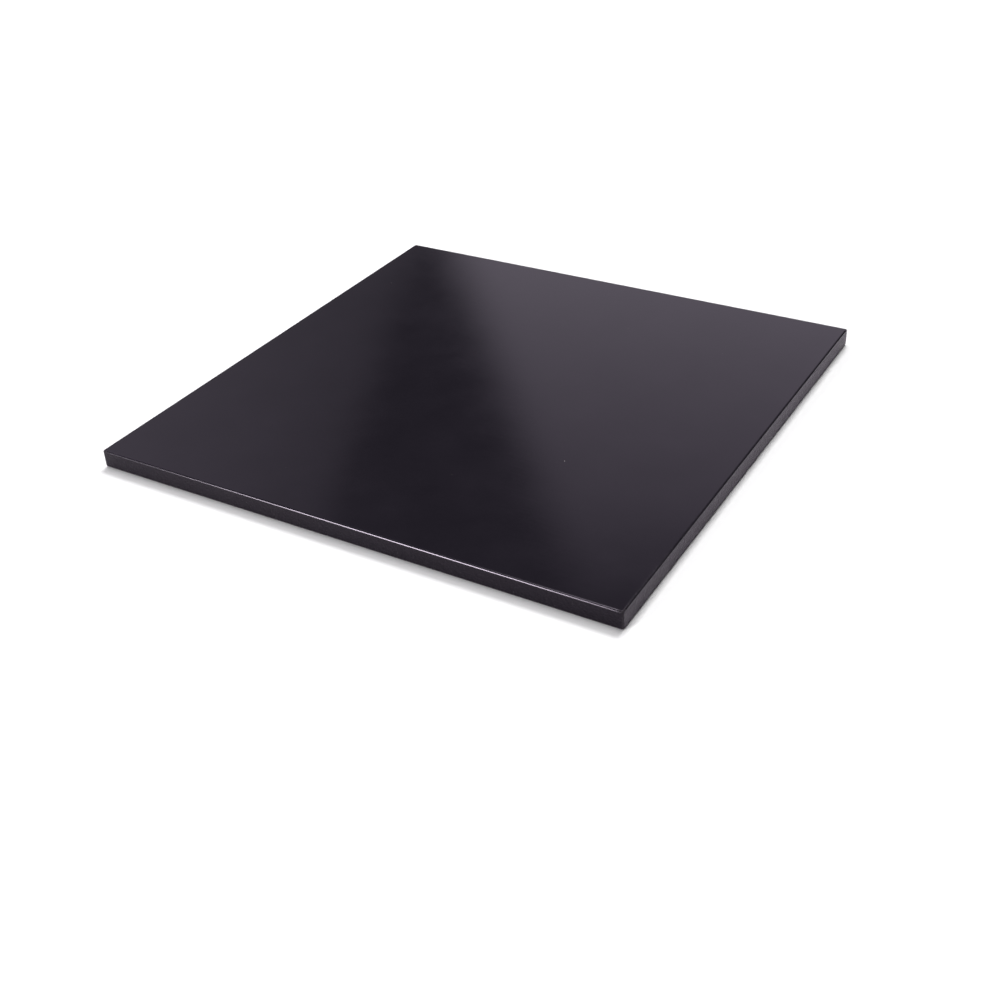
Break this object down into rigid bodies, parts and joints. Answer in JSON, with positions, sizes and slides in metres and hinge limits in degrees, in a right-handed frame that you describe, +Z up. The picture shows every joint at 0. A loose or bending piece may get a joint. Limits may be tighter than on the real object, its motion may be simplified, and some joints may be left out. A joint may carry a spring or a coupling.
{
  "type": "film faced plywood sheet",
  "caption": "Square film faced plywood sheet lying flat: smooth near-black film on both faces, sealed edges, eased arrises.",
  "frame": {"origin": "middle of the underside, on the surface that the sheet lies on", "axes": "+Z up through the thickness; +X along one side, with the face grain; +Y along the other side"},
  "size_m": [0.625, 0.625, 0.021],
  "materials": {
    "phenolic_film": "smooth near-black phenolic film on the faces, edges sealed in the same colour, satin"
  },
  "bodies": {
    "root": {"plywood_sheet": "phenolic_film"}
  },
  "joints": []
}
